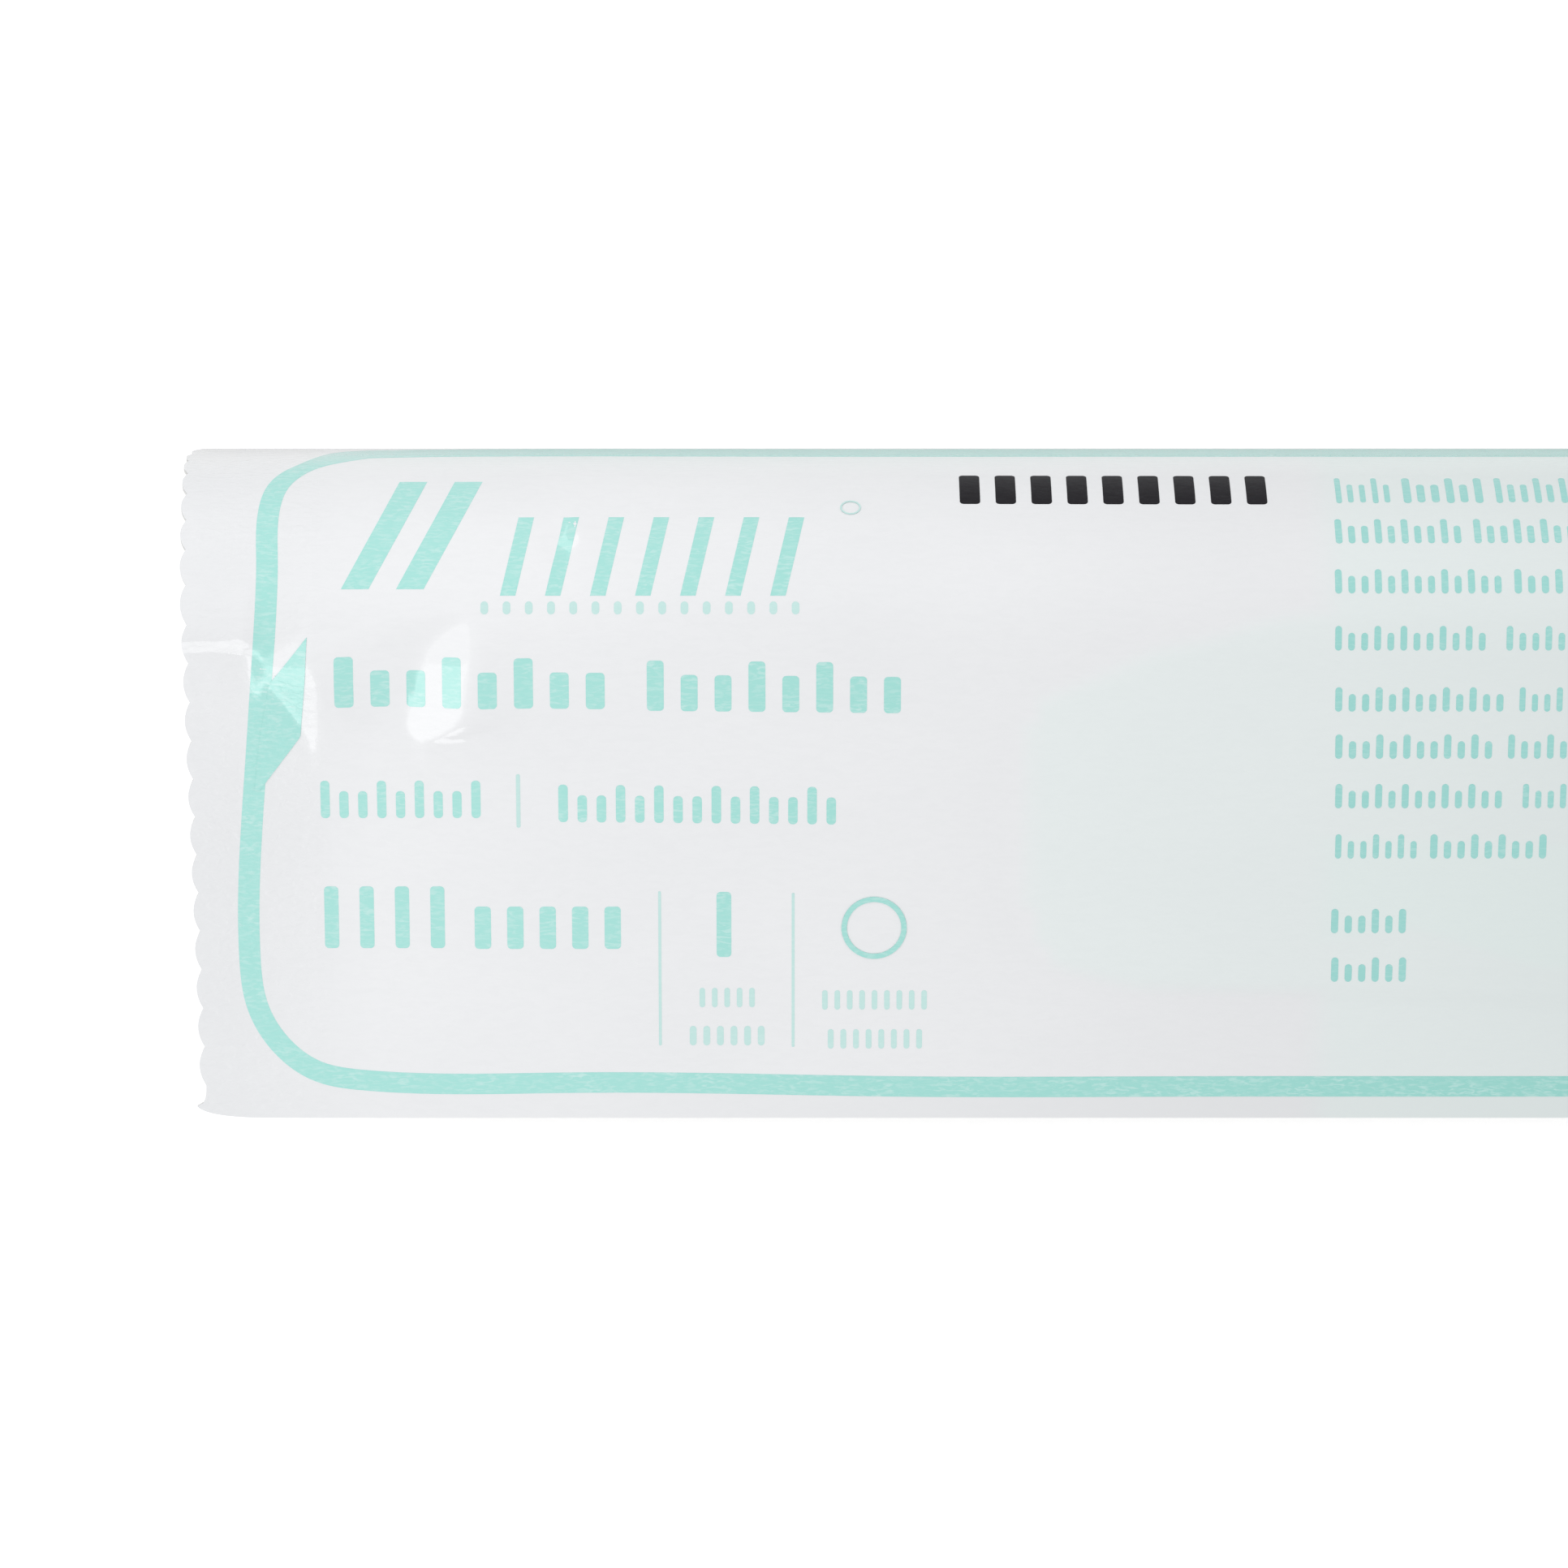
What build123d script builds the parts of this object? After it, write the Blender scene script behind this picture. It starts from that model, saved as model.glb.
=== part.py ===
"""A sealed pouch for a disposable instrument, lying on its back web.

Two webs of film are sealed together along both sides and across both ends.
The pouch has taken a curl: its far margin is bent down to the table, its near
margin stands clear of it, and between the seals the back web sags to the table
round the instrument. X runs along the pouch, Y across it, and Z is up.
"""

import os
from math import cos, radians, sin, tan

from build123d import *

# Overall sizes, in millimetres
pouch_length = 190.0
pouch_width = 51.0
crown_height = 17.0

# How high the two side edges lie above the table
near_lift = 6.6
far_lift = 0.3

# The film and its seals
sealed_thickness = 0.4
end_seal = 11.0
side_seal = 5.5
opening_run = 34.0
pillow_rise = 1.2

# The knife cut across both ends, and the near corner that flares out of it
scallop_pitch = 3.0
scallop_depth = 0.45
cut_slant_deg = 1.5
corner_flare = 0.75
corner_lift = 0.9
corner_run = 5.4

# The knife cuts across the film at an angle half way between its two margins
knife_lean_deg = 29.0

# One overrun serves every cutting shape
overrun = 3.0

# The arch of a sealed end: shares of the width from the near edge, and of the crown's height
arch_shares = [
    (0.284, 0.580),
    (0.461, 0.750),
    (0.657, 0.950),
    (0.778, 1.000),
    (0.878, 0.814),
    (0.926, 0.663),
    (0.961, 0.493),
]
near_slope = (1.0, 0.25)
far_slope = (0.19, -1.0)

# How far the front web stands above that arch between the seals, as shares of the pillow's rise
rise_shares = [0.90, 1.00, 0.60, 0.45, 0.35, 0.20, 0.00]

# The open back web: shares of the arch's length, and its height as shares of the crown's
belly_shares = [
    (0.200, 0.040),
    (0.380, -0.080),
    (0.550, -0.060),
    (0.660, 0.025),
    (0.740, 0.125),
    (0.830, 0.250),
]

# How far the webs have parted, at shares of the opening run past an end seal
parting_shares = [(0.00, 0.00), (0.30, 0.36), (0.62, 0.76), (1.00, 0.97), (1.50, 1.00)]


def arch_points(parted):
    """Points of the front web across the pouch, from its near edge to its far edge."""
    points = [(-pouch_width / 2, near_lift)]
    for (across, up), rise in zip(arch_shares, rise_shares):
        height = up * crown_height + rise * pillow_rise * parted
        points.append(((across - 0.5) * pouch_width, height))
    points.append((pouch_width / 2, far_lift))
    return points


with BuildLine() as arch_line:
    arch = Spline(arch_points(0.0), tangents=[near_slope, far_slope])

knife_lean = radians(knife_lean_deg)
knife_plane = Plane((0, 0, 0), x_dir=(1, 0, 0), z_dir=(0, sin(knife_lean), cos(knife_lean)))


def under_arch(share):
    """The point one sealed thickness below the arch, at a share of its length."""
    return arch @ share + (arch % share).rotate(Axis.Z, -90) * sealed_thickness


def belly_points(parted):
    """Points of the back web between the side seals, part of the way down to the table."""
    points = []
    for along, height in belly_shares:
        closed = under_arch(along)
        drop = closed.Y - height * crown_height
        points.append((closed.X, closed.Y - parted * drop))
    return points


def web_section(x, parted):
    """The pouch's section at x: the front web above, the back web and its two margins below."""
    seal_share = side_seal / arch.length
    near_end, near_line = under_arch(0.0), under_arch(seal_share)
    far_line, far_end = under_arch(1 - seal_share), under_arch(1.0)
    with BuildSketch(Plane.YZ.offset(x)) as section:
        with BuildLine():
            front = Spline(arch_points(parted), tangents=[near_slope, far_slope])
            Line(front @ 1, far_end)
            Line(far_end, far_line)
            Spline(far_line, *belly_points(parted)[::-1], near_line)
            Line(near_line, near_end)
            Line(near_end, front @ 0)
        make_face()
    return section.sketch


def on_knife(film_distance, past_cut):
    """A point of the left cut on the knife's plane, by its distance along the film from the far
    edge, and how far it lies past the line of the cusps."""
    at = arch.position_at(arch.length - film_distance, PositionMode.LENGTH)
    slant = (pouch_width / 2 - at.X) * tan(radians(cut_slant_deg))
    x = scallop_depth - pouch_length / 2 + slant - past_cut
    across = knife_plane.to_local_coords(Vector(x, at.X, at.Y)).Y
    return Vector(x, across)


def scallop(start, end):
    """Control points of one scallop, which bulges past its two cusps by the scallop's depth."""
    bulge = Vector(-scallop_depth / 0.75, 0)
    lean = 0.12 * (end - start).Y
    return start, start + bulge + Vector(0, lean), end + bulge - Vector(0, lean), end


seal_line = end_seal - pouch_length / 2
stations = [(seal_line + share * opening_run, parted) for share, parted in parting_shares]

with BuildPart() as pouch:
    # Each end: a flat seal that runs on past the cut, then the webs part to their full depth
    extrude(web_section(seal_line, 0.0), amount=-end_seal - overrun)
    loft([web_section(x, parted) for x, parted in stations])
    mirror(about=Plane.YZ)

    # The middle of the pillow
    extrude(web_section(stations[-1][0], 1.0), amount=-2 * stations[-1][0])

    # The knife cut: scallops, then the near corner, on both ends alike
    cusp_count = int((arch.length - 2 * corner_lift) / scallop_pitch) + 1
    cusps = [on_knife(number * scallop_pitch, 0) for number in range(cusp_count)]
    tip = on_knife(arch.length - corner_lift, corner_flare)
    near_edge = on_knife(arch.length, 0).Y
    corner_end = Vector(tip.X + corner_run, near_edge - corner_lift / 10)
    side = pouch_width / 2 + overrun
    with BuildSketch(knife_plane.offset(-pouch_width)) as outline:
        with BuildLine():
            for start, end in zip(cusps, cusps[1:]):
                Bezier(*scallop(start, end))
            Bezier(cusps[-1], Vector(cusps[-1].X, tip.Y), tip)
            Bezier(tip, Vector(tip.X + corner_flare, corner_end.Y), corner_end)
            Polyline(corner_end, (corner_end.X, -side), (0, -side))
            Polyline(cusps[0], (cusps[0].X, side), (0, side))
            mirror(about=Plane.YZ)
        make_face()
    extrude(amount=2 * pouch_width, mode=Mode.INTERSECT)

    # The table flattens the back web where the pouch rests on it
    split(bisect_by=Plane.XY, keep=Keep.TOP)

pouch.part.label = "pouch"
os.makedirs("parts", exist_ok=True)
export_step(pouch.part, "parts/pouch.step")
print("flat width of the film", round(arch.length, 2), "mm with", cusp_count - 1, "scallops")
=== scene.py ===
"""The look of a sealed instrument pouch that lies on its back web, seen from straight above.

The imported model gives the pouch's width, and its other sizes are repeated here. The pouch's two
webs are thin shells with a scalloped cut at both ends, and the print lies on the front web as
thin ink shapes. Lengths are millimetres in the model's frame (X along the pouch, Y across it, Z
up) until the meshes are made. A place on the flat film is (x, d): x as in the frame, d from the
far edge. Pixels are those of the photograph, 1932 on a side.
"""

from math import ceil, pi, radians, tan

import bpy
import numpy as np
from mathutils import Matrix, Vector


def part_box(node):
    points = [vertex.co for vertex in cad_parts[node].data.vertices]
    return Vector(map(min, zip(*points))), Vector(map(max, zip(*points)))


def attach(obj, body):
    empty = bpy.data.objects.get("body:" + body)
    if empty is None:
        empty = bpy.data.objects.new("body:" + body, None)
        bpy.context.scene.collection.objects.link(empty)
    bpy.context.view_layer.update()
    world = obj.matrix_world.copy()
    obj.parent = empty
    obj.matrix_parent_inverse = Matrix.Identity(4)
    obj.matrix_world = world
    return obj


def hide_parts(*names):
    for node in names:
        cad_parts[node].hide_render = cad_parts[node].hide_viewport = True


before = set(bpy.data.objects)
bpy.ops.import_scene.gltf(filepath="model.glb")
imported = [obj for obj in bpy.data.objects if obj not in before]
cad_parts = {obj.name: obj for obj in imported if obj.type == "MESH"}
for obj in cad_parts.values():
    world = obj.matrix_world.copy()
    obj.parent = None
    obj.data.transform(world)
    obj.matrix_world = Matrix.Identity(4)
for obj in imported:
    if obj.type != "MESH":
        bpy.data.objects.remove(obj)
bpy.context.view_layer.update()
low, high = (np.array(corner) * 1000 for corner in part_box("pouch"))

# ---- the pouch's form, with the same values as its solid ----

POUCH_LENGTH = 190.0
POUCH_WIDTH = high[1] - low[1]
CROWN = 17.0
NEAR_LIFT, FAR_LIFT = 6.6, 0.3
END_SEAL, SIDE_SEAL, OPENING_RUN = 11.0, 5.5, 34.0
PILLOW_RISE = 1.2
SCALLOP_PITCH, SCALLOP_DEPTH = 3.0, 0.45
CUT_SLANT = tan(radians(1.5))
CUT_BOW = 0.55  # how far the cut draws in where the film stands highest
FAR_CORNER_INSET, FAR_CORNER_RUN = 0.60, 6.5  # and how far at the far corner
CORNER_FLARE, CORNER_LIFT, CORNER_RUN = 0.75, 0.9, 5.4
NEAR_SLOPE, FAR_SLOPE = (1.0, 0.25), (0.19, -1.0)

# The arch of the closed film from the near edge: share of the width, share of the crown, and how
# far the open front web stands above it as a share of the pillow's rise
ARCH = [
    (0.284, 0.580, 0.90),
    (0.461, 0.750, 1.00),
    (0.657, 0.950, 0.60),
    (0.778, 1.000, 0.45),
    (0.878, 0.814, 0.35),
    (0.926, 0.663, 0.20),
    (0.961, 0.493, 0.00),
]
# The open back web: share of the arch's length from the near edge, share of the crown
BELLY = [(0.20, 0.04), (0.38, -0.08), (0.55, -0.06), (0.66, 0.025), (0.74, 0.125), (0.83, 0.25)]
# How far the webs have parted, at shares of the opening run past an end seal, and the directions
# in which that leaves the seal and levels out
PARTING = [(0.00, 0.00), (0.30, 0.36), (0.62, 0.76), (1.00, 0.97), (1.50, 1.00)]
PARTING_START, PARTING_FINISH = (1, 0.035), (1, 0)

FRONT_THICKNESS, BACK_THICKNESS = 0.14, 0.18
WEB_DEPTH = 0.38  # from the top of the front web to the underside of the back web, in a seal
TABLE_GAP = 0.02  # the back web's underside comes no nearer to the table

# ---- the camera: the photograph looks straight down ----

PHOTO_SIDE = 1932
PIXELS_PER_MM = 16.057  # on the table
CAMERA_X, CAMERA_Y, CAMERA_HEIGHT = -49.35, -0.22, 500.0
SENSOR = 36.0

# ---- curves ----


def smooth_curve(points, first, last, count=1500):
    """Points of the cubic spline that leaves along first, passes through points, arrives along last."""
    points = np.asarray(points, float)
    knots = run_of(points)
    gaps = np.diff(knots)
    system, goal = np.eye(len(points)), np.zeros(points.shape)
    goal[0], goal[-1] = first / np.linalg.norm(first), last / np.linalg.norm(last)
    for i in range(1, len(points) - 1):
        before, after = gaps[i - 1], gaps[i]
        system[i, i - 1 : i + 2] = after, 2 * (before + after), before
        step_in, step_out = points[i] - points[i - 1], points[i + 1] - points[i]
        goal[i] = 3 * (after / before * step_in + before / after * step_out)
    slopes = np.linalg.solve(system, goal)
    at = np.linspace(0, knots[-1], count)
    k = np.clip(np.searchsorted(knots, at, side="right") - 1, 0, len(gaps) - 1)
    t, gap = ((at - knots[k]) / gaps[k])[:, None], gaps[k][:, None]
    ease = t * t * (3 - 2 * t)
    turn = gap * t * (1 - t) * ((1 - t) * slopes[k] - t * slopes[k + 1])
    return (1 - ease) * points[k] + ease * points[k + 1] + turn


def run_of(curve):
    """The distance along a curve at each of its points."""
    return np.append(0, np.cumsum(np.linalg.norm(np.diff(curve, axis=0), axis=1)))


def along(curve, shares):
    """Points at shares of a curve's length."""
    run = run_of(curve)
    return np.column_stack([np.interp(shares, run / run[-1], axis) for axis in curve.T])


def below(curve, depth):
    """A curve from the far edge to the near edge, moved down by a depth at right angles."""
    heading = np.gradient(curve, axis=0)
    heading /= np.linalg.norm(heading, axis=1)[:, None]
    return curve + depth * np.column_stack([-heading[:, 1], heading[:, 0]])


def ease_in(value, start, end):
    """Rises smoothly from 0 at start to 1 at end."""
    t = np.clip((value - start) / (end - start), 0, 1)
    return t * t * (3 - 2 * t)


# ---- the two webs as grids: one row along the pouch at each distance from the far edge ----


def arch_curve(parted):
    """The front web across the pouch as (y, z), from its far edge to its near edge."""
    points = [(-POUCH_WIDTH / 2, NEAR_LIFT)]
    for share, up, rise in ARCH:
        points.append(((share - 0.5) * POUCH_WIDTH, up * CROWN + rise * PILLOW_RISE * parted))
    points.append((POUCH_WIDTH / 2, FAR_LIFT))
    return smooth_curve(points, NEAR_SLOPE, FAR_SLOPE)[::-1]


closed_arch = arch_curve(0.0)
film_width = run_of(closed_arch)[-1]
scallop_count = int((film_width - 2 * CORNER_LIFT) / SCALLOP_PITCH)
corner_start, corner_tip = scallop_count * SCALLOP_PITCH, film_width - CORNER_LIFT

ROWS_PER_SCALLOP, FLARE_ROWS, ROUNDING_ROWS = 9, 7, 8
rows = np.concatenate(
    [
        np.linspace(0, corner_start, scallop_count * ROWS_PER_SCALLOP + 1),
        np.linspace(corner_start, corner_tip, FLARE_ROWS)[1:],
        corner_tip + CORNER_LIFT * np.sin(np.linspace(0, pi / 2, ROUNDING_ROWS))[1:],
    ]
)

# The columns are close together along each end, and widen from there to the pouch's middle
FINE_RUN, FINE_STEP, COARSE_STEP, COARSE_COUNT = 13.0, 0.40, 1.30, 92
coarse = np.linspace(FINE_STEP, COARSE_STEP, COARSE_COUNT)
coarse = np.cumsum(coarse) / coarse.sum() * (POUCH_LENGTH / 2 - FINE_RUN)
from_end = np.concatenate([np.arange(0, FINE_RUN, FINE_STEP), FINE_RUN + coarse])
columns = np.concatenate([from_end, POUCH_LENGTH - from_end[-2::-1]]) - POUCH_LENGTH / 2

closed_front = along(closed_arch, rows / film_width)
open_front = along(arch_curve(1.0), rows / film_width)
closed_back = below(closed_front, WEB_DEPTH)


def open_back_rows():
    """The open back web: its side seals follow the front web, and it sags to the table between."""
    section = below(open_front, WEB_DEPTH)
    far_line = section[rows <= SIDE_SEAL][-1]
    near_line = section[rows >= film_width - SIDE_SEAL][0]
    under = below(closed_arch, WEB_DEPTH)
    points = [far_line]
    for share, height in BELLY[::-1]:
        y = np.interp((1 - share) * film_width, run_of(closed_arch), under[:, 0])
        points.append((y, height * CROWN))
    points = np.array([*points, near_line])
    belly = smooth_curve(points, points[1] - points[0], points[-1] - points[-2])
    loose = (rows > SIDE_SEAL) & (rows < film_width - SIDE_SEAL)
    section[loose] = along(belly, (rows[loose] - SIDE_SEAL) / (film_width - 2 * SIDE_SEAL))
    return section


def cut_inset():
    """How far inside the pouch's end its cut runs, for each row."""
    slant = (POUCH_WIDTH / 2 - closed_front[:, 0]) * CUT_SLANT + CUT_BOW * closed_front[:, 1] / CROWN
    slant += FAR_CORNER_INSET * np.maximum(1 - rows / FAR_CORNER_RUN, 0) ** 2
    part = rows / SCALLOP_PITCH % 1
    bulge = np.where(rows < corner_start, 4 * SCALLOP_DEPTH * part * (1 - part), 0)
    inset = SCALLOP_DEPTH + slant - bulge
    flare = 1 - np.sqrt(1 - np.clip((rows - corner_start) / (corner_tip - corner_start), 0, 1))
    rounding = 1 - np.sqrt(1 - np.clip((rows - corner_tip) / CORNER_LIFT, 0, 1))
    inset -= CORNER_FLARE * flare**2
    return inset + 2 * CORNER_FLARE * rounding * (1 - rounding) + CORNER_RUN * rounding**2


CUT_FADE = 16.0  # the columns take on the shape of the cut over this much of each end
fade = np.clip(1 - (POUCH_LENGTH / 2 - np.abs(columns)) / CUT_FADE, 0, 1)
grid_x = columns - np.sign(columns) * fade * cut_inset()[:, None]
grid_d = np.repeat(rows[:, None], len(columns), axis=1)

opening = [(share * OPENING_RUN, parted) for share, parted in PARTING]
opening = smooth_curve(opening, PARTING_START, PARTING_FINISH)
past_seal = POUCH_LENGTH / 2 - END_SEAL - np.abs(grid_x)
parted = np.interp(past_seal, opening[:, 0], opening[:, 1])


def web(closed, opened):
    """The places of a web's grid, between its closed and its open section."""
    section = closed[:, None] + parted[..., None] * (opened - closed)[:, None]
    return np.dstack([grid_x, section])


def normals_of(grid):
    """The unit normals of a grid, pointing up."""
    down, right = np.gradient(grid, axis=0), np.gradient(grid, axis=1)
    normals = np.cross(down, right)
    return normals / np.linalg.norm(normals, axis=2)[..., None]


# ---- from the photograph to the flat film ----


def section_at(x):
    """The front web across the pouch at x, one (y, z) for each row."""
    open_share = np.interp(POUCH_LENGTH / 2 - END_SEAL - abs(x), opening[:, 0], opening[:, 1])
    return closed_front + open_share * (open_front - closed_front)


def from_photo(px, py):
    """The place on the flat film that shows at a pixel."""
    height = CROWN * 0.8  # a first guess, which three rounds settle
    for _ in range(3):
        closeness = (CAMERA_HEIGHT - height) / CAMERA_HEIGHT
        x = CAMERA_X + (px - PHOTO_SIDE / 2) / PIXELS_PER_MM * closeness
        y, z = section_at(x).T
        seen = (CAMERA_Y - y) * PIXELS_PER_MM * CAMERA_HEIGHT / (CAMERA_HEIGHT - z)
        row = np.interp(py - PHOTO_SIDE / 2, seen, np.arange(len(rows)))
        height = np.interp(row, np.arange(len(rows)), z)
    return np.array([x, np.interp(row, np.arange(len(rows)), rows)])


def on_film(pixels):
    """The places on the flat film that show at some pixels, in a row for each."""
    return np.array([from_photo(*pixel) for pixel in pixels])


def at_columns(side):
    """How far across the film a side runs at each column, from its places."""
    return np.interp(columns, side[:, 0], side[:, 1])[None, :]


# ---- relief of the film ----

rng = np.random.default_rng(7)

# The low waves of the loose film: their height, how far they keep from its edges, their count and
# lengths, the most that one turns aside, and how closely they follow along and across the pouch
RIPPLE_HEIGHT, RIPPLE_MARGIN = 0.05, (3.0, 12.0)
RIPPLE_COUNT, LONGEST_RIPPLE, SHORTEST_RIPPLE = 7, 60, 18
RIPPLE_TURN, RIPPLES_ALONG, RIPPLES_ACROSS = 0.9, 0.45, 0.6


def ripples(x, d):
    """Low waves in mixed directions, about one unit high."""
    height = np.zeros_like(x)
    for size in np.geomspace(LONGEST_RIPPLE, SHORTEST_RIPPLE, RIPPLE_COUNT):
        heading, phase = rng.uniform(-RIPPLE_TURN, RIPPLE_TURN) + pi / 2, rng.uniform(0, 2 * pi)
        run = x * np.cos(heading) * RIPPLES_ALONG + d * np.sin(heading) * RIPPLES_ACROSS
        height += np.sin(2 * pi / size * run + phase)
    return height / np.sqrt(RIPPLE_COUNT)


# What shows faintly through the film: the far and the near side of the contents and of a part
# with a deeper tint, in pixels from left to right
CONTENTS = (
    [
        (1266, 925), (1272, 885), (1288, 861), (1350, 836), (1420, 803),
        (1500, 785), (1560, 765), (1640, 752), (1900, 745),
    ],
    [(1266, 1110), (1282, 1160), (1305, 1192), (1400, 1217), (1640, 1223), (1900, 1235)],
)  # fmt: skip
DEEPER_PART = (
    [(1620, 1020), (1900, 1030)],
    [(1620, 1170), (1740, 1152), (1900, 1203)],
)
# Along the pouch, in millimetres: where the contents end, over what distance they fade out there,
# and where the film is tinted all across
CONTENTS_END, CONTENTS_FADE = 78.0, (-5, 3)
FULLY_TINTED, TINT_FADE = -10.5, 3
# How far the film stands up over the contents, how soft their outlines are, and how strongly they
# tint it
CONTENTS_RISE, CONTENTS_BLUR, DEEPER_BLUR = 0.13, 0.9, 1.2
CONTENTS_TINT, DEEPER_TINT = 0.9, 1.4

# Small flat dents in the film, which mirror a lamp: their left and right sides, in pixels
LONG_DENT = (
    [
        (572, 760), (546, 774), (525, 795), (515, 820), (507, 848),
        (499, 878), (497, 896), (503, 909), (514, 915),
    ],
    [
        (577, 760), (588, 772), (588, 792), (584, 820), (580, 850),
        (575, 880), (563, 896), (540, 908), (520, 915),
    ],
)  # fmt: skip
SMALL_DENT = (
    [(702, 641), (693, 653), (690, 670), (693, 688), (701, 699)],
    [(706, 641), (714, 653), (716, 669), (712, 688), (705, 699)],
)
SEAL_DENT = (
    [
        (372, 777), (352, 789), (330, 804), (315, 824), (326, 842),
        (342, 860), (358, 880), (375, 904), (386, 938),
    ],
    [
        (380, 777), (381, 786), (381, 800), (382, 815), (387, 829),
        (391, 840), (392, 865), (392, 904), (390, 938),
    ],
)  # fmt: skip
DENT_SLOPE, SMALL_DENT_SLOPE = 0.13, 0.20
DENT_SIDE_FADE, DENT_END_FADE = 1.1, 3.0  # in widths of the dent, and in millimetres
# The crease that runs from the cut over the seal: its far and its near side, in pixels
SEAL_CREASE = (
    [(205, 785), (250, 784), (275, 782), (300, 781), (325, 786)],
    [(205, 808), (250, 806), (275, 809), (300, 812), (325, 818)],
)
CREASE_SLOPE, CREASE_FADE = 0.25, (0.6, 5.0)


def dent(sides, slope, level_left=False):
    """A flat facet between two sides that rises along the pouch, and eases back to the film beyond
    them. It is level with the film along its middle or along its left side."""
    left, right = (on_film(side) for side in sides)
    start, end = (np.interp(rows, side[:, 1], side[:, 0])[:, None] for side in (left, right))
    end = np.maximum(start, end)
    middle = np.interp(rows, left[[0, -1], 1], (left + right)[[0, -1], 0] / 2)[:, None]
    level = start if level_left else middle
    past_sides = np.maximum(start - grid_x, grid_x - end)
    past_ends = np.maximum(left[0, 1] - rows, rows - left[-1, 1])[:, None]
    aside = ease_in(past_sides, 0, DENT_SIDE_FADE * (end - start).max())
    beyond = ease_in(past_ends, 0, DENT_END_FADE)
    return slope * (np.clip(grid_x, start, end) - level) * (1 - aside) * (1 - beyond)


def crease(sides, slope):
    """A facet between two sides that falls towards the near edge, and eases back to the film."""
    far, near = (on_film(side) for side in sides)
    start, end = at_columns(far), at_columns(near)
    half = (end - start) / 2
    offset = (start + end) / 2 - grid_d
    fade = 1 - ease_in(np.abs(offset) - half, *CREASE_FADE)
    window = 1 - ease_in(grid_x, far[-2, 0], far[-1, 0])
    return slope * np.clip(offset, -half, half) * fade * window


def lying_under(sides, blur):
    """1 between a far and a near side, and 0 beside them, before their start and past the contents."""
    far, near = (on_film(side) for side in sides)
    beside = np.maximum(at_columns(far) - grid_d, grid_d - at_columns(near))
    outside = np.maximum(beside, far[0, 0] - grid_x)
    return (1 - ease_in(outside, -blur, blur)) * before_end


before_end = 1 - ease_in(grid_x, *(CONTENTS_END + past for past in CONTENTS_FADE))
contents = lying_under(CONTENTS, CONTENTS_BLUR)
deeper = lying_under(DEEPER_PART, DEEPER_BLUR)
all_across = ease_in(grid_x, FULLY_TINTED, FULLY_TINTED + TINT_FADE) * before_end
tint = np.maximum(np.maximum(CONTENTS_TINT * contents, all_across), DEEPER_TINT * deeper)

front_grid = web(closed_front, open_front)
inside = ease_in(np.minimum(grid_d, film_width - grid_d), *RIPPLE_MARGIN)
relief = RIPPLE_HEIGHT * ripples(grid_x, grid_d) * inside * parted + CONTENTS_RISE * contents
relief += dent(LONG_DENT, DENT_SLOPE) + dent(SMALL_DENT, SMALL_DENT_SLOPE)
relief += dent(SEAL_DENT, DENT_SLOPE, level_left=True) + crease(SEAL_CREASE, CREASE_SLOPE)
front_grid = front_grid + relief[..., None] * normals_of(front_grid)
front_normals = normals_of(front_grid)

back_grid = web(closed_back, open_back_rows()) + (relief * (1 - parted))[..., None] * front_normals
back_grid[..., 2] = np.maximum(back_grid[..., 2], TABLE_GAP)


def on_front(places, lift):
    """The frame's places for places on the flat film, lifted off the front web."""
    spots = []
    for x, d in places.reshape(-1, 2):
        row = np.interp(d, rows, np.arange(len(rows)))
        i = min(int(row), len(rows) - 2)
        f = row - i
        line = (1 - f) * grid_x[i] + f * grid_x[i + 1]
        column = np.interp(x, line, np.arange(len(columns)))
        j = min(int(column), len(columns) - 2)
        g = column - j
        corners = np.s_[i : i + 2, j : j + 2]
        weights = np.outer([1 - f, f], [1 - g, g])[..., None]
        place = (front_grid[corners] * weights).sum((0, 1))
        normal = (front_normals[corners] * weights).sum((0, 1))
        spots.append(place + lift * normal)
    return np.array(spots).reshape(*places.shape[:2], 3)


# ---- printed shapes: each one is a grid of places between two lines on the flat film ----

PRINT_STEP, BLOCK_ROUNDING = 0.40, 0.30


def between(side_a, side_b):
    """Places between two lines with equally many points."""
    width = np.linalg.norm(side_a - side_b, axis=1).max()
    shares = np.linspace(0, 1, 1 + ceil(width / PRINT_STEP))[:, None, None]
    return (1 - shares) * side_a + shares * side_b


def ribbon(path, half_width):
    """A band along a path, of one half width or of one for each point."""
    heading = np.gradient(path, axis=0)
    heading /= np.linalg.norm(heading, axis=1)[:, None]
    side = np.column_stack([-heading[:, 1], heading[:, 0]]) * np.reshape(half_width, (-1, 1))
    return between(path - side, path + side)


def panel(side_a, side_b, count=40):
    """A filled shape between two lines of pixels."""
    shares = np.linspace(0, 1, count)
    return between(*(along(on_film(side), shares) for side in (side_a, side_b)))


def even(curve, least=2):
    """The curve again, in even steps of the print's fineness."""
    return along(curve, np.linspace(0, 1, least + ceil(run_of(curve)[-1] / PRINT_STEP)))


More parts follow.
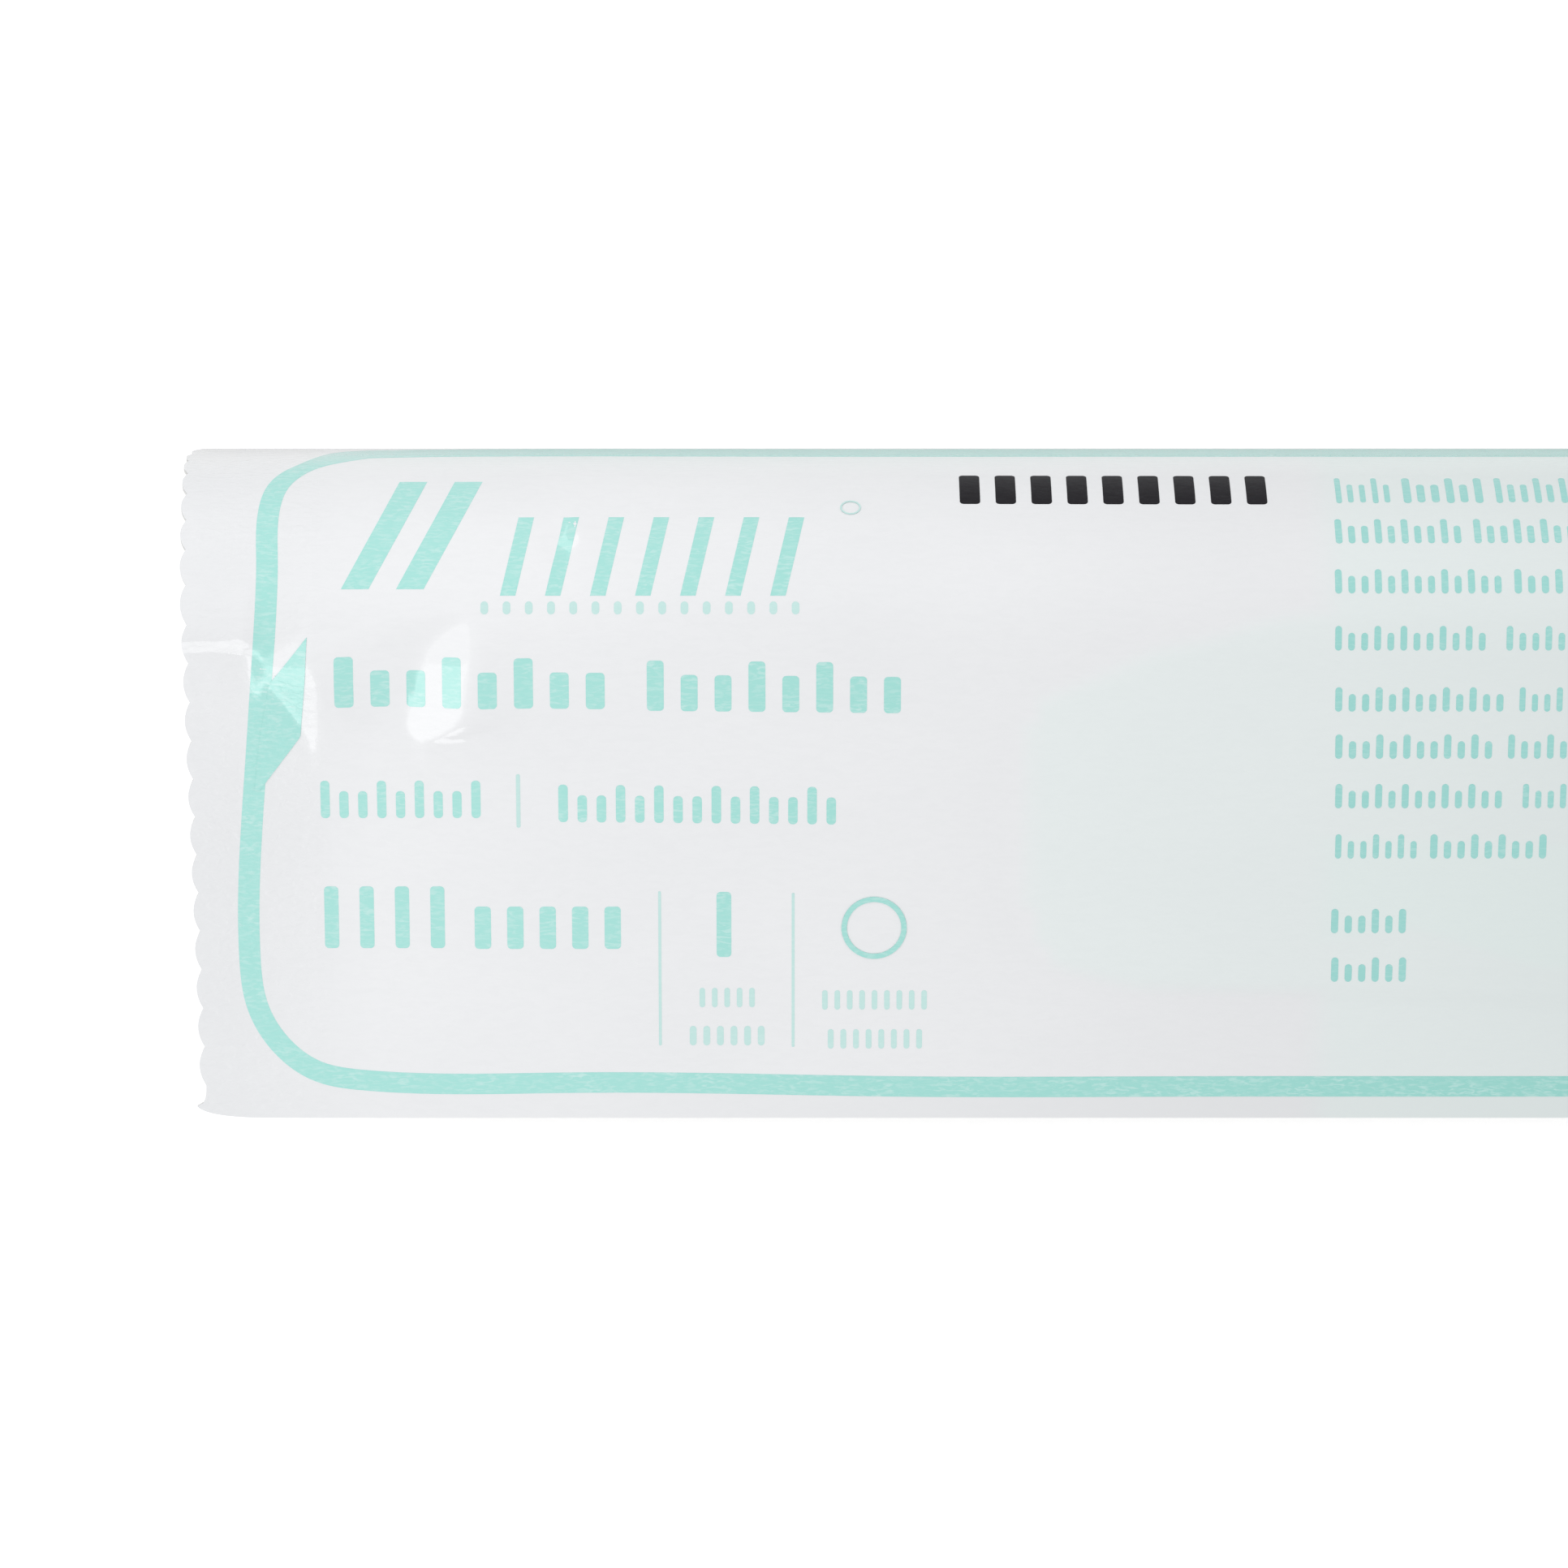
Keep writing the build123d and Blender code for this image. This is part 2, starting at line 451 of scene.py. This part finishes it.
def block(left, right, height, rounding):
    """A block with rounded corners about the pixel line from left to right, height in pixels."""
    start, end = from_photo(*left), from_photo(*right)
    x, y = (np.array(left) + right) / 2
    tall = (from_photo(x, y + height / 2) - from_photo(x, y - height / 2))[1]
    length = end[0] - start[0]
    radius = min(rounding, tall / 2, length / 2)
    turn = radius * (1 - np.cos(np.linspace(0, pi / 2, 7)))
    straight = np.linspace(radius, length - radius, 2 + ceil((length - 2 * radius) / PRINT_STEP))
    at = np.concatenate([turn[:-1], straight, length - turn[-2::-1]])
    from_tip = np.minimum(at, length - at)
    into_corner = np.maximum(radius - from_tip, 0)
    half = tall / 2 - radius + np.sqrt(np.maximum(radius**2 - into_corner**2, 1e-6))
    centre = start + np.outer(at / length, end - start)
    return between(centre - np.outer(half, [0, 1]), centre + np.outer(half, [0, 1]))


def ring(px, py, radius, half_width):
    """A plain ring about a pixel, radius and half width in millimetres."""
    angles = np.linspace(0, 2 * pi, 4 + ceil(2 * pi * radius / PRINT_STEP))
    circle = from_photo(px, py) + radius * np.column_stack([np.cos(angles), np.sin(angles)])
    out = np.column_stack([np.cos(angles), np.sin(angles)]) * half_width
    return between(circle - out, circle + out)


def word(x0, x1, y, height, width, gap, rises=(1.0,), drop=0.0):
    """A row of solid blocks in a word's place, from pixel x0 to x1 about the pixel row y. They have
    a width and a gap, take shares of the height in turn, and go down by drop along the row."""
    count = round((x1 - x0 + gap) / (width + gap))
    pitch = (x1 - x0 + gap) / count
    blocks = []
    for number in range(count):
        rise = rises[number % len(rises)]
        left = x0 + number * pitch
        middle = y + drop * (left - x0) / (x1 - x0) + height * (1 - rise) / 2
        right = left + pitch - gap
        blocks.append(block((left, middle), (right, middle), height * rise, BLOCK_ROUNDING))
    return blocks


def slants(x0, x1, y, height, width, gap, lean):
    """A row of plain slanted bars, in pixels; lean is how far one leans for each pixel of height."""
    bars, up = [], np.linspace(height, 0, 9)
    for left in np.arange(x0, x1 - width - lean * height + 1, width + gap):
        sides = [[(left + side + lean * h, y + height / 2 - h) for h in up] for side in (width, 0)]
        bars.append(panel(*sides, 25))
    return bars


# The printed frame's middle line round the left half, in pixels
FRAME_LEFT = [
    (465, 559.2), (447, 559.8), (425, 562.5), (400, 568), (370, 579), (352, 590),
    (340, 604), (333, 622), (329, 650), (329, 700), (325, 790), (322, 835),
    (318, 900), (313, 975), (308, 1060), (306.5, 1125), (308, 1180), (317, 1238),
    (347, 1288), (392, 1320), (445, 1330.5), (700, 1334), (1100, 1338.5), (1500, 1338.5),
]  # fmt: skip
FRAME_HALF_WIDTH = 0.80
# The line is wider on the film where it runs along the far edge: its two sides there, in pixels,
# and how far inside them it narrows, in millimetres
FAR_SIDE, FAR_INNER_SIDE = (1200, 553.6), (1200, 562.5)
NARROWING = (0.6, 6)
# Along the pouch, where the line keeps to its far and its near run, in millimetres
FAR_RUN, NEAR_RUN = (0.0, -25.0, -50.0, -70.0), (-8.0, 0.0)


def frame_path():
    """The printed frame's middle line on the flat film. Its right half mirrors the left."""
    left = on_film(FRAME_LEFT)
    top = [(x, frame_top) for x in FAR_RUN]
    bottom = [(x, left[-1, 1]) for x in NEAR_RUN]
    half = smooth_curve([*top, *left, *bottom], (-1, 0), (1, 0), 6000)
    return even(np.concatenate([half, half[-2::-1] * (-1, 1)]))


# The wide pointer on the frame's left side: its left and its right side, in pixels
POINTER_LEFT = [(332, 842), (326, 875), (320, 908), (313.5, 974)]
POINTER_RIGHT = [(378, 785), (376, 835), (370, 908), (320, 974)]

far_side, inner_side = from_photo(*FAR_SIDE)[1], from_photo(*FAR_INNER_SIDE)[1]
frame_top, far_half_width = (far_side + inner_side) / 2, (inner_side - far_side) / 2
frame_line = frame_path()
on_far_run = 1 - ease_in(frame_line[:, 1], *(frame_top + inwards for inwards in NARROWING))
frame_half_width = FRAME_HALF_WIDTH + (far_half_width - FRAME_HALF_WIDTH) * on_far_run

# The rest of the print, in the order in which word, slants, block and ring take it
UNEVEN = (1.0, 0.72, 0.72, 1.0, 0.72)
HEADING_SLANTS = [(420, 604, 660, 132, 34, 34, 0.55), (616, 1022, 686, 96, 19, 36.5, 0.24)]
HEADING_WORDS = [
    (412, 745, 840, 62, 22, 21, UNEVEN, 3),
    (797, 1110, 845, 62, 22, 21, UNEVEN, 3),
    (400, 548, 1130, 76, 18, 26),
    (585, 765, 1143, 52, 19, 20),
    (395, 592, 985, 46, 12, 12, UNEVEN),
    (688, 1030, 990, 46, 12, 12, UNEVEN, 3),
]
TALL_BLOCK = ((883, 1139), (901, 1139), 80, 0.3)
LARGE_RING, SMALL_RING = (1077, 1143, 2.25, 0.20), (1048, 626, 0.72, 0.06)
DIVIDERS = [
    ((636, 987), (641, 987), 66, 0.2),
    ((811.5, 1193), (815, 1193), 190, 0.1),
    ((975.5, 1195), (979, 1195), 190, 0.1),
]
SMALL_WORDS = [
    (592, 985, 749, 16, 10, 18),
    (862, 930, 1229, 24, 7.5, 8.5),
    (850, 942, 1276, 24, 7.5, 8.5),
    (1013, 1142, 1232, 24, 7.5, 8.5),
    (1020, 1136, 1280, 24, 7.5, 8.5),
]
DARK_WORD = (1182, 1560, 602, 34, 25, 19)
# The words of the right column: first and last pixel along, pixel across the middle. They share
# a height, a width and a gap.
COLUMN_SIZES = (30, 8.5, 8)
COLUMN_WORDS = [
    (1645, 1712, 603), (1728, 1826, 603), (1842, 1930, 603), (1946, 2130, 603), (2146, 2310, 603),
    (1645, 1800, 654), (1816, 1940, 654), (1956, 2230, 654), (2246, 2440, 654),
    (1645, 1850, 716), (1866, 2060, 716), (2076, 2180, 716),
    (1645, 1830, 786), (1856, 1960, 786), (1976, 2230, 786), (2246, 2400, 786),
    (1645, 1852, 861), (1872, 1925, 861),
    (1645, 1838, 919), (1858, 2090, 919), (2106, 2330, 919),
    (1645, 1850, 980), (1876, 1960, 980), (1976, 2210, 980),
    (1645, 1745, 1042), (1762, 1905, 1042),
    (1640, 1732, 1134), (1640, 1732, 1194),
]  # fmt: skip


def words(rows_of_blocks):
    """The blocks of several words."""
    return [shape for sizes in rows_of_blocks for shape in word(*sizes)]


# ---- meshes ----


def add_mesh(name, vertices, faces, uvs=None):
    """A smooth-shaded object from places in millimetres, and its texture coordinates if any."""
    mesh = bpy.data.meshes.new(name)
    mesh.from_pydata((np.asarray(vertices) / 1000).tolist(), [], faces)
    mesh.shade_smooth()
    if uvs is not None:
        layer = mesh.uv_layers.new(name="film")
        loops = np.zeros(len(mesh.loops), int)
        mesh.loops.foreach_get("vertex_index", loops)
        layer.data.foreach_set("uv", np.asarray(uvs)[loops].ravel())
    piece = bpy.data.objects.new(name, mesh)
    bpy.context.scene.collection.objects.link(piece)
    return piece


def grid_faces(height, width, start=0, flip=False):
    """Quads over a grid of vertices, facing up for rows that run towards the near edge."""
    index = start + np.arange(height * width).reshape(height, width)
    quads = np.stack([index[:-1, :-1], index[1:, :-1], index[1:, 1:], index[:-1, 1:]], -1).reshape(-1, 4)
    return (quads[:, ::-1] if flip else quads).tolist()


UV_RUN = 200.0  # millimetres of film in one unit of the film's texture coordinates
CRISP_ANGLE = radians(50)


def film_uv(x, d):
    """The texture coordinates of places on the flat film."""
    return np.column_stack([np.ravel(x) + POUCH_LENGTH / 2, np.ravel(d)]) / UV_RUN


def thicken(piece, thickness):
    """Gives a sheet its thickness on the side away from its faces."""
    solid = piece.modifiers.new("thickness", "SOLIDIFY")
    solid.thickness, solid.offset = thickness / 1000, -1
    solid.use_quality_normals = True
    rims = piece.modifiers.new("crisp rims", "EDGE_SPLIT")
    rims.split_angle = CRISP_ANGLE


def add_web(name, grid, thickness, flip=False):
    """One of the two webs, as a closed thin shell."""
    faces = grid_faces(*grid.shape[:2], flip=flip)
    piece = add_mesh(name, grid.reshape(-1, 3), faces, film_uv(grid_x, grid_d))
    thicken(piece, thickness)
    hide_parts("pouch")
    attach(piece, "root")
    return piece


INK_LIFT, INK_THICKNESS = 0.015, 0.04
POINTER_LIFT = INK_LIFT - 0.006  # the frame's line covers the pointer where they meet


def add_print(name, shapes, lift=INK_LIFT):
    """Printed shapes as one thin piece on the front web."""
    vertices, faces, uvs = [], [], []
    for places in shapes:
        faces += grid_faces(*places.shape[:2], start=len(vertices))
        vertices += on_front(places, lift).reshape(-1, 3).tolist()
        uvs += film_uv(places[..., 0], places[..., 1]).tolist()
    piece = add_mesh(name, vertices, faces, uvs)
    thicken(piece, INK_THICKNESS)
    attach(piece, "root")
    return piece


front_web = add_web("front_web", front_grid, FRONT_THICKNESS)
tint_layer = front_web.data.attributes.new("contents", "FLOAT", "POINT")
tint_layer.data.foreach_set("value", np.ravel(tint))
back_web = add_web("back_web", back_grid, BACK_THICKNESS, flip=True)

print_frame = add_print("print_frame", [ribbon(frame_line, frame_half_width)])
print_pointer = add_print("print_pointer", [panel(POINTER_LEFT, POINTER_RIGHT)], POINTER_LIFT)
slanted = [bar for sizes in HEADING_SLANTS for bar in slants(*sizes)]
heading_signs = [block(*TALL_BLOCK), ring(*LARGE_RING)]
print_headings = add_print("print_headings", [*slanted, *words(HEADING_WORDS), *heading_signs])
dividers = [block(*sizes) for sizes in DIVIDERS]
print_small = add_print("print_small", [*dividers, ring(*SMALL_RING), *words(SMALL_WORDS)])
column = words((*place, *COLUMN_SIZES, UNEVEN) for place in COLUMN_WORDS)
print_column = add_print("print_column", column)
print_dark = add_print("print_dark", word(*DARK_WORD))

# ---- materials ----


def linear(red, green, blue):
    """A colour as it shows on a screen, 0 to 255, in the values that Blender takes."""
    shown = np.array([red, green, blue]) / 255
    return (*np.where(shown <= 0.04045, shown / 12.92, ((shown + 0.055) / 1.055) ** 2.4), 1.0)


# The film's white at the ends, and its grey where the pouch is fullest: partly the contents under it,
# partly painted shade of light that falls off towards the middle
FILM_WHITE, FULLEST_TINT_AND_SHADE = linear(235, 236, 238), linear(218, 219, 221)
# A painted lighter white where the film stands almost upright along the far edge
PAINTED_LIGHT_WHITE = linear(244, 245, 246)
# The grey of random clouds and of fibres in the film, and a painted shade grey for the near edge and the
# ends
CLOUD_GREY, FIBRE_GREY, PAINTED_SHADE_GREY = linear(214, 216, 219), linear(205, 207, 210), linear(212, 214, 216)
CONTENTS_GREEN = linear(205, 238, 228)
WEB_SHADE, WEB_WHITE = linear(228, 228, 226), linear(240, 240, 238)
# The pale web behind the ink, and a painted deeper mint where the film stands almost upright
PAPER, PAINTED_SHADE_MINT = linear(226, 240, 239), linear(104, 211, 200)
# Inks at the pouch's ends, and deeper where it is fullest, from painted shade and the contents' tint
# under the film
MINT, SHADED_INNER_MINT = linear(160, 222, 214), linear(138, 204, 195)
LIGHT_MINT, SHADED_INNER_LIGHT_MINT = linear(190, 225, 221), linear(184, 222, 217)
COLUMN_MINT, SHADED_INNER_COLUMN_MINT = linear(146, 208, 202), linear(144, 207, 201)
DARK = linear(8, 4, 14)


class Look:
    """A material that is put together node by node."""

    def __init__(self, name):
        self.material = bpy.data.materials.new(name)
        self.material.use_nodes = True
        self.tree = self.material.node_tree
        self.shader = self.tree.nodes["Principled BSDF"]

    def add(self, kind, output=0, settings=None, **sockets):
        """A node with its settings and inputs, and the output that the next node takes."""
        made = self.tree.nodes.new("ShaderNode" + kind)
        for key, value in (settings or {}).items():
            setattr(made, key, value)
        for key, value in sockets.items():
            self.join(made, key.replace("_", " "), value)
        return made.outputs[output]

    def join(self, made, socket, value):
        """Sets an input, by its name or as i0, i1 and so on, to a value or another node's output."""
        entry = made.inputs[int(socket[1:]) if socket[0] == "i" and socket[1:].isdigit() else socket]
        if isinstance(value, bpy.types.NodeSocket):
            self.tree.links.new(value, entry)
        else:
            entry.default_value = value

    def math(self, operation, a, b=0.0):
        """The result of an operation on two values."""
        return self.add("Math", settings={"operation": operation}, i0=a, i1=b)

    def mix(self, share, a, b):
        """A colour between a and b."""
        return self.add("Mix", 2, {"data_type": "RGBA"}, i0=share, i6=a, i7=b)

    def toward(self, colour, other, where, most):
        """A colour that goes towards another by where, from 0 to 1, times the most that it may."""
        return self.mix(self.math("MULTIPLY", where, most), colour, other)

    def ramp(self, value, start, end):
        """Rises evenly from 0 at start to 1 at end."""
        return self.add("MapRange", i0=value, i1=start, i2=end)

    def film_place(self, stretch_x=1.0, stretch_d=1.0):
        """The place on the flat film in millimetres, for a texture stretched along it and across."""
        uv = self.add("UVMap", settings={"uv_map": "film"})
        scale = (UV_RUN / stretch_x, UV_RUN / stretch_d, 1.0)
        return self.add("VectorMath", settings={"operation": "MULTIPLY"}, i0=uv, i1=scale)

    def noise(self, stretch, detail, distortion=0.0):
        """Noise in spots of about a size along the film and a size across it, in millimetres."""
        place = self.film_place(*stretch)
        return self.add("TexNoise", Vector=place, Scale=1.0, Detail=detail, Distortion=distortion)

    def across_film(self):
        """The distance from the far edge on the flat film."""
        return self.add("SeparateXYZ", 1, i0=self.film_place())


FULLEST_X = 15.0  # where the pouch is fullest, and where its contents and painted shade grey the film most
FILM_REACH, INK_REACH = 103.0, 85.0  # how far from there the film and the ink still change in their grey and painted shade
FAR_MARGIN, FAR_MARGIN_FADE = 5.5, 4.0  # the film that stands almost upright along the far edge, painted lighter there and its ink painted deeper
NEAR_MARGIN, NEAR_MARGIN_FADE = 2.6, (-0.6, 0.4)  # and the film past the frame at the near edge, where painted shade greys it
END_SHADE_RUN, SHADED_NEAR_PART = (80.0, 91.0), (24.0, 42.0)  # where painted shade greys each end, more towards the near edge: from the middle, and across the film
SEAL_LINE_BLUR = (-0.8, 0.4)  # about the inner line of an end seal
RELIEF_BUMP, GLOSS_BUMP, BACK_BUMP = 0.00007, 0.000011, 0.00012  # in metres


def away_from(look, x):
    """The distance along the pouch from x, in millimetres."""
    place = look.add("SeparateXYZ", 0, i0=look.film_place())
    return look.math("ABSOLUTE", look.math("SUBTRACT", place, x + POUCH_LENGTH / 2))


def fullness_and_shade(look, reach, power):
    """Rises from 0 at a distance from the pouch's fullest place to 1 there: the share of painted shade
    and of the contents' grey.
    """
    return look.math("POWER", look.ramp(away_from(look, FULLEST_X), reach, 0.0), power)


def film_surface(look, coat, specular=0.5):
    """Gloss and relief that the film and the ink under its gloss share. Over the end seals the
    back web's grain comes through more strongly, and into the gloss."""
    grain = look.noise((0.9, 0.45), detail=4.0, distortion=0.8)
    streak = look.noise((9.0, 0.8), detail=2.0, distortion=0.3)
    seal_line = (POUCH_LENGTH / 2 - END_SEAL + past for past in SEAL_LINE_BLUR)
    ends = look.ramp(away_from(look, 0.0), *seal_line)
    depth = look.add("MapRange", i0=ends, i3=0.25, i4=1.0)
    height = look.math("ADD", look.math("MULTIPLY", grain, depth), look.math("MULTIPLY", streak, 0.25))
    relief_bump = look.add("Bump", Strength=0.8, Distance=RELIEF_BUMP, Height=height)
    gloss_height = look.math("MULTIPLY", grain, ends)
    gloss_bump = look.add("Bump", Strength=0.6, Distance=GLOSS_BUMP, Height=gloss_height)
    look.join(look.shader, "Normal", relief_bump)
    look.join(look.shader, "Coat Normal", gloss_bump)
    look.join(look.shader, "Roughness", 0.26)
    look.join(look.shader, "Coat Weight", coat)
    look.join(look.shader, "Coat Roughness", 0.02)
    look.join(look.shader, "Specular IOR Level", specular)


def film_look():
    """White glossy film that turns faintly green where the contents lie under it, and greys towards the
    middle with them and with painted shade. It is painted lighter where it stands almost upright at the
    far edge, and painted shade greys its near edge and its ends.
    """
    look = Look("printed_film")
    across = look.across_film()
    # Painted shade of light that falls off towards the middle, together with the contents' grey
    full_and_shaded = fullness_and_shade(look, FILM_REACH, 2.0)
    white = look.mix(full_and_shaded, FILM_WHITE, FULLEST_TINT_AND_SHADE)
    cloud = look.ramp(look.noise((22, 14), detail=2.0), 0.38, 0.62)
    white = look.toward(white, CLOUD_GREY, cloud, 0.10)
    fibres = look.ramp(look.noise((1.4, 0.5), detail=4.0, distortion=0.8), 0.40, 0.65)
    white = look.toward(white, FIBRE_GREY, fibres, 0.06)
    # A painted lighter white where the film stands almost upright along the far edge
    painted_light_margin = look.ramp(across, FAR_MARGIN + FAR_MARGIN_FADE, FAR_MARGIN)
    white = look.toward(white, PAINTED_LIGHT_WHITE, painted_light_margin, 0.6)
    # Painted shade along the near edge, deepest where the pouch is fullest
    shaded_near_margin = look.ramp(across, *(film_width - NEAR_MARGIN + past for past in NEAR_MARGIN_FADE))
    deepest_shade = look.add("MapRange", i0=full_and_shaded, i3=0.05, i4=0.85)
    white = look.toward(white, PAINTED_SHADE_GREY, shaded_near_margin, deepest_shade)
    # Painted shade over each end, stronger towards the near edge
    shaded_end_part = look.ramp(away_from(look, 0.0), *END_SHADE_RUN)
    deepest_shade = look.add("MapRange", i0=across, i1=SHADED_NEAR_PART[0], i2=SHADED_NEAR_PART[1], i3=0.12, i4=0.26)
    white = look.toward(white, PAINTED_SHADE_GREY, shaded_end_part, deepest_shade)
    contents_tint = look.add("Attribute", 2, {"attribute_name": "contents"})
    white = look.toward(white, CONTENTS_GREEN, contents_tint, 0.19)
    look.join(look.shader, "Base Color", white)
    film_surface(look, coat=0.6)
    return look.material


def ink_look(name, ink, shaded_inner, streaks, coat=1.0, specular=0.5):
    """Ink behind glossy film, with the pale streaks of the web behind. It deepens towards the pouch's
    fullest place with painted shade and the contents' tint, and is painted deeper where the film
    stands almost upright."""
    look = Look(name)
    streak = look.ramp(look.noise((0.75, 0.22), detail=3.0, distortion=0.7), 0.46, 0.66)
    patch = look.ramp(look.noise((3.0, 2.0), detail=2.0), 0.20, 0.70)
    # Painted shade and the contents' tint deepen the ink towards the pouch's fullest place
    colour = look.mix(fullness_and_shade(look, INK_REACH, 1.0), ink, shaded_inner)
    # A painted deeper tone where the film stands almost upright along the far edge
    shaded_steep = look.ramp(look.across_film(), FAR_MARGIN, FAR_MARGIN - FAR_MARGIN_FADE)
    colour = look.toward(colour, PAINTED_SHADE_MINT, shaded_steep, 0.85)
    colour = look.toward(colour, PAPER, look.math("MULTIPLY", streak, patch), streaks)
    look.join(look.shader, "Base Color", colour)
    film_surface(look, coat, specular)
    return look.material


def back_look():
    """Matt white web of fine crossed fibres."""
    look = Look("back_web")
    fibres = look.noise((0.5, 3.0), detail=5.0, distortion=1.5)
    crossed = look.noise((2.5, 0.6), detail=5.0, distortion=1.5)
    height = look.math("ADD", fibres, crossed)
    bump = look.add("Bump", Strength=0.35, Distance=BACK_BUMP, Height=height)
    look.join(look.shader, "Base Color", look.mix(look.ramp(height, 0.7, 1.3), WEB_SHADE, WEB_WHITE))
    look.join(look.shader, "Normal", bump)
    look.join(look.shader, "Roughness", 0.8)
    return look.material


mint = ink_look("mint_ink", MINT, SHADED_INNER_MINT, streaks=0.38)
light_mint = ink_look("light_mint_ink", LIGHT_MINT, SHADED_INNER_LIGHT_MINT, streaks=0.2)
column_mint = ink_look("deep_mint_ink", COLUMN_MINT, SHADED_INNER_COLUMN_MINT, streaks=0.2)
dark = ink_look("dark_ink", DARK, DARK, streaks=0.01, coat=0.12, specular=0.12)
for piece, material in (
    (front_web, film_look()),
    (back_web, back_look()),
    (print_frame, mint),
    (print_pointer, mint),
    (print_headings, mint),
    (print_small, light_mint),
    (print_column, column_mint),
    (print_dark, dark),
):
    piece.data.materials.append(material)

# ---- the table, the light and the camera ----

TABLE_REACH, TABLE_WHITE, TABLE_GLOW = 900.0, 0.80, 0.45
ROOM_LIGHT = 0.90
# The two large lamps: the place, the place that it faces, and the power in watts
OVERHEAD = ((-330, 120, 480), (-40, 0, 0), 0.62)
FAR_LAMP = ((-50, 600, 260), (-50, 0, 0), 0.3)
LAMP_SIZE, GLINT_DISTANCE = 600, 600.0
# Where the film mirrors a small lamp, as a pixel, and that lamp's two sizes and its brightness
LONG_GLINT = ((546, 815), 80, 460, 1.15)
SMALL_GLINT = ((703, 670), 80, 140, 1.5)
SEAL_GLINT = ((355, 835), 100, 340, 1.5)
CREASE_GLINT = ((262, 796), 60, 110, 3.2)


def add_table():
    """A white table that stays white to the camera and keeps the pouch's shadow."""
    corners = [(x * TABLE_REACH, y * TABLE_REACH, 0) for x, y in ((-1, -1), (1, -1), (1, 1), (-1, 1))]
    table = add_mesh("table", corners, [(0, 1, 2, 3)])
    look = Look("table")
    look.join(look.shader, "Base Color", (TABLE_WHITE, TABLE_WHITE, TABLE_WHITE, 1.0))
    look.join(look.shader, "Roughness", 1.0)
    look.join(look.shader, "Specular IOR Level", 0.0)
    seen = look.add("LightPath", 0)
    look.join(look.shader, "Emission Color", (1.0, 1.0, 1.0, 1.0))
    look.join(look.shader, "Emission Strength", look.math("MULTIPLY", seen, TABLE_GLOW))
    table.data.materials.append(look.material)


def add_room():
    """A white room, seen as plain white, that lights the pouch softly."""
    world = bpy.data.worlds.new("room")
    world.use_nodes = True
    tree = world.node_tree
    path = tree.nodes.new("ShaderNodeLightPath")
    seen = tree.nodes.new("ShaderNodeMath")
    seen.operation = "MAXIMUM"
    tree.links.new(path.outputs["Is Camera Ray"], seen.inputs[0])
    tree.links.new(path.outputs["Is Glossy Ray"], seen.inputs[1])
    level = tree.nodes.new("ShaderNodeMapRange")
    level.inputs["To Min"].default_value = ROOM_LIGHT
    tree.links.new(seen.outputs[0], level.inputs["Value"])
    tree.links.new(level.outputs[0], tree.nodes["Background"].inputs["Strength"])
    tree.nodes["Background"].inputs["Color"].default_value = (1, 1, 1, 1)
    bpy.context.scene.world = world


def add_lamp(name, place, aim, power, size_x=LAMP_SIZE, size_y=LAMP_SIZE, mirrored=False):
    """An area lamp that faces a place, with its second size along Y. It shows in gloss or it
    lights, not both."""
    lamp = bpy.data.lights.new(name, "AREA")
    lamp.energy, lamp.shape = power, "RECTANGLE"
    lamp.size, lamp.size_y = size_x / 1000, size_y / 1000
    holder = bpy.data.objects.new(name, lamp)
    bpy.context.scene.collection.objects.link(holder)
    holder.location = np.array(place) / 1000
    holder.visible_glossy, holder.visible_diffuse = mirrored, not mirrored
    facing = np.array(place, float) - aim
    facing /= np.linalg.norm(facing)
    level = np.cross((0, 1, 0), facing)
    level /= np.linalg.norm(level)
    axes = np.column_stack([level, np.cross(facing, level), facing])
    holder.rotation_mode = "QUATERNION"
    holder.rotation_quaternion = Matrix(axes.tolist()).to_quaternion()


def add_camera():
    """The camera looks straight down with the pouch's far side at the top of the picture."""
    data = bpy.data.cameras.new("camera")
    data.sensor_width = SENSOR
    data.lens = SENSOR * CAMERA_HEIGHT / (PHOTO_SIDE / PIXELS_PER_MM)
    data.clip_start, data.clip_end = 0.01, 10.0
    camera = bpy.data.objects.new("camera", data)
    bpy.context.scene.collection.objects.link(camera)
    camera.location = np.array([CAMERA_X, CAMERA_Y, CAMERA_HEIGHT]) / 1000
    bpy.context.scene.camera = camera


def add_glint(name, pixel, size_x, size_y, radiance):
    """A small lamp that the film mirrors to the camera at a pixel."""
    place = on_film([pixel])[None]
    spot = on_front(place, 0.0)[0, 0]
    normal = on_front(place, 1.0)[0, 0] - spot
    normal /= np.linalg.norm(normal)
    to_camera = np.array([CAMERA_X, CAMERA_Y, CAMERA_HEIGHT]) - spot
    to_camera /= np.linalg.norm(to_camera)
    to_lamp = 2 * (normal @ to_camera) * normal - to_camera
    power = radiance * pi * size_x * size_y / 1e6
    add_lamp(name, spot + GLINT_DISTANCE * to_lamp, spot, power, size_x, size_y, mirrored=True)


add_table()
add_room()
add_lamp("overhead", *OVERHEAD)
add_lamp("far_side", *FAR_LAMP)
add_glint("glint_long", *LONG_GLINT)
add_glint("glint_small", *SMALL_GLINT)
add_glint("glint_seal", *SEAL_GLINT)
add_glint("glint_crease", *CREASE_GLINT)
add_camera()
bpy.context.scene.view_settings.view_transform = "Standard"
